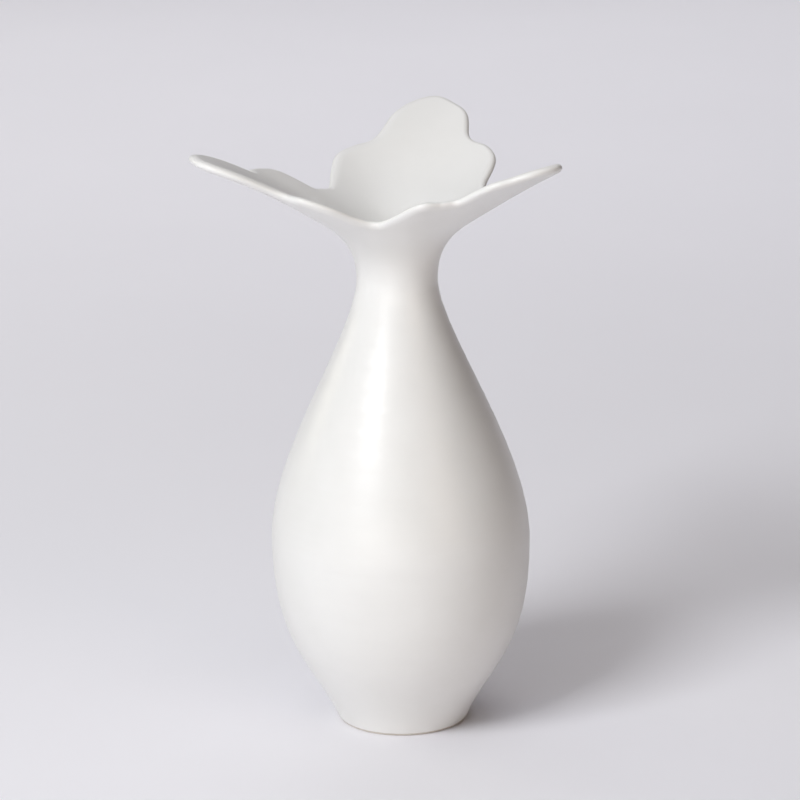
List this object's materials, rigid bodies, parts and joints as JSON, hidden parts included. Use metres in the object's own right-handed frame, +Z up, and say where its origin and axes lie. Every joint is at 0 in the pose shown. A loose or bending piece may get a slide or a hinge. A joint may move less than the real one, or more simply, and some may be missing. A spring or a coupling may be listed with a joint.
{
  "type": "ceramic bud vase",
  "caption": "Free-standing teardrop bud vase in satin white glaze, with a narrow neck that flares into a rim of lobed petals.",
  "frame": {"origin": "centre of the foot, on the plane it stands on", "axes": "+Z up the vase's axis; the pictured front faces -Y, with one petal to the left, one to the right and one at the back"},
  "size_m": [0.1304, 0.1291, 0.2193],
  "materials": {
    "bare_clay": "bare unglazed stoneware, matte",
    "satin_glaze": "satin white glaze",
    "liner_glaze": "gloss white liner glaze"
  },
  "bodies": {
    "root": {"foot_ring": "bare_clay", "floor_disc": "satin_glaze", "lower_bowl": "satin_glaze", "shoulder": "satin_glaze", "neck_collar": "satin_glaze", "petal_left": "satin_glaze", "petal_right": "satin_glaze", "petal_back": "satin_glaze", "liner_glaze": "liner_glaze"}
  },
  "joints": []
}
